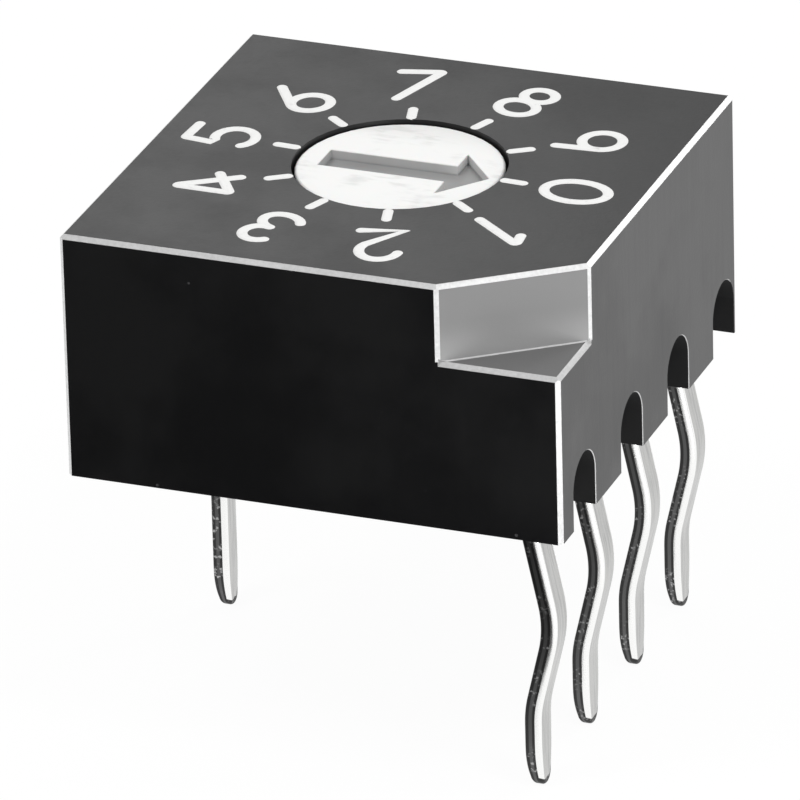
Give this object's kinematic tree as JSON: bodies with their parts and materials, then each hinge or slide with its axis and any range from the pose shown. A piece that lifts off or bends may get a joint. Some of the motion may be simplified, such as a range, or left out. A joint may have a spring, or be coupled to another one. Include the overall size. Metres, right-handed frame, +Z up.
{
  "type": "rotary dip switch",
  "caption": "Square black rotary DIP switch with a numbered dial, a white rotor turned by its arrow recess, a corner notch and kinked flat terminals.",
  "frame": {"origin": "middle of the square body, on the plane where its walls meet the circuit board", "axes": "+Z up along the rotor's axis, +X towards the row of four terminals and the arrow at rest, +Y to the back, away from the corner notch"},
  "size_m": [0.0096, 0.0096, 0.0103],
  "materials": {
    "black_housing": "semi-gloss moulded thermoplastic",
    "black_base": "satin moulded thermoplastic",
    "epoxy": "poured epoxy, glossy",
    "white_rotor": "satin white thermoplastic",
    "seal_rubber": "matt black rubber",
    "steel": "polished steel",
    "disc_board": "satin brown laminate",
    "gold_plating": "gold plating",
    "tin_plating": "bright tin plating"
  },
  "bodies": {
    "housing": {"housing": "black_housing", "base": "black_base", "base_seal": "epoxy", "terminal_1": "tin_plating", "terminal_2": "tin_plating", "terminal_4": "tin_plating", "terminal_8": "tin_plating", "terminal_common": "tin_plating", "contact_spring_1": "gold_plating", "contact_spring_2": "gold_plating", "contact_spring_4": "gold_plating", "contact_spring_8": "gold_plating", "contact_spring_common": "gold_plating"},
    "rotor": {"rotor": "white_rotor", "rotor_seal": "seal_rubber", "detent_spring": "steel", "detent_ball_head": "steel", "detent_ball_tail": "steel", "code_disc": "disc_board", "shorting_plate": "gold_plating"}
  },
  "joints": [
    {"name": "rotor_turn", "type": "hinge", "parent": "housing", "child": "rotor", "pos_m": [0, 0, 0], "axis": [0, 0, 1], "continuous": true}
  ]
}
